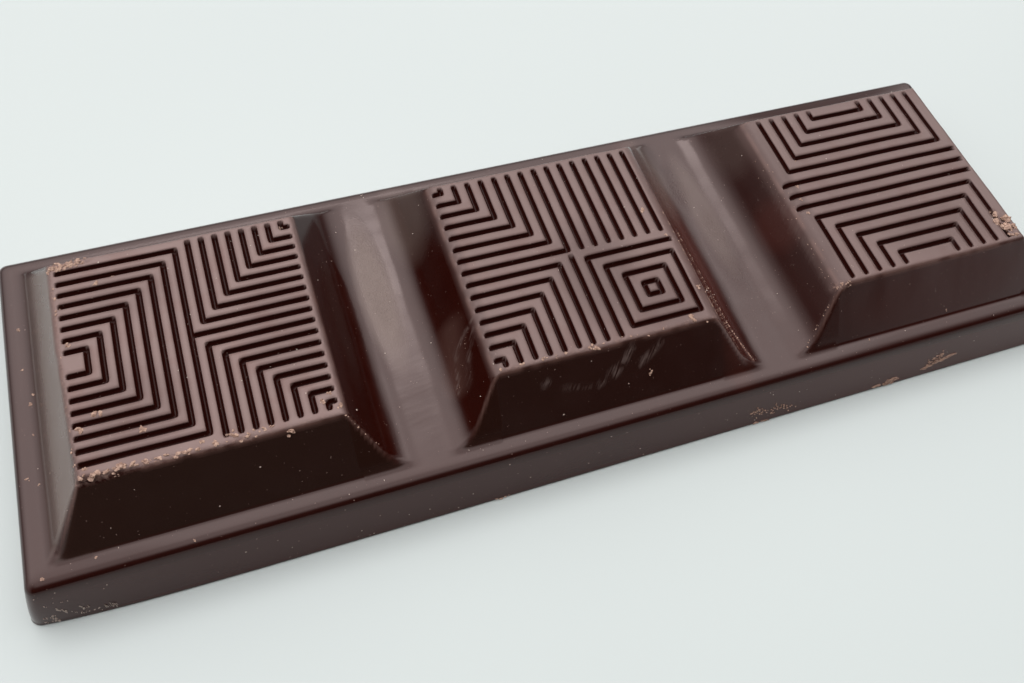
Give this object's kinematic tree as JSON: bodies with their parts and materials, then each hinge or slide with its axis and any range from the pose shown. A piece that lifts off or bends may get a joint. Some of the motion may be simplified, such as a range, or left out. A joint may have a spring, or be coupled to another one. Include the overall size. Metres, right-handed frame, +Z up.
{
  "type": "chocolate bar",
  "caption": "Small dark chocolate bar: a flat slab with raised square blocks in a row, parted by rounded channels, each block with fine geometric grooves.",
  "frame": {"origin": "middle of the flat underside", "axes": "+X along the bar's length, +Y across its width, +Z up out of the patterned side"},
  "size_m": [0.1008, 0.0342, 0.0104],
  "materials": {
    "chocolate": "satin"
  },
  "bodies": {
    "root": {"bar": "chocolate"}
  },
  "joints": []
}
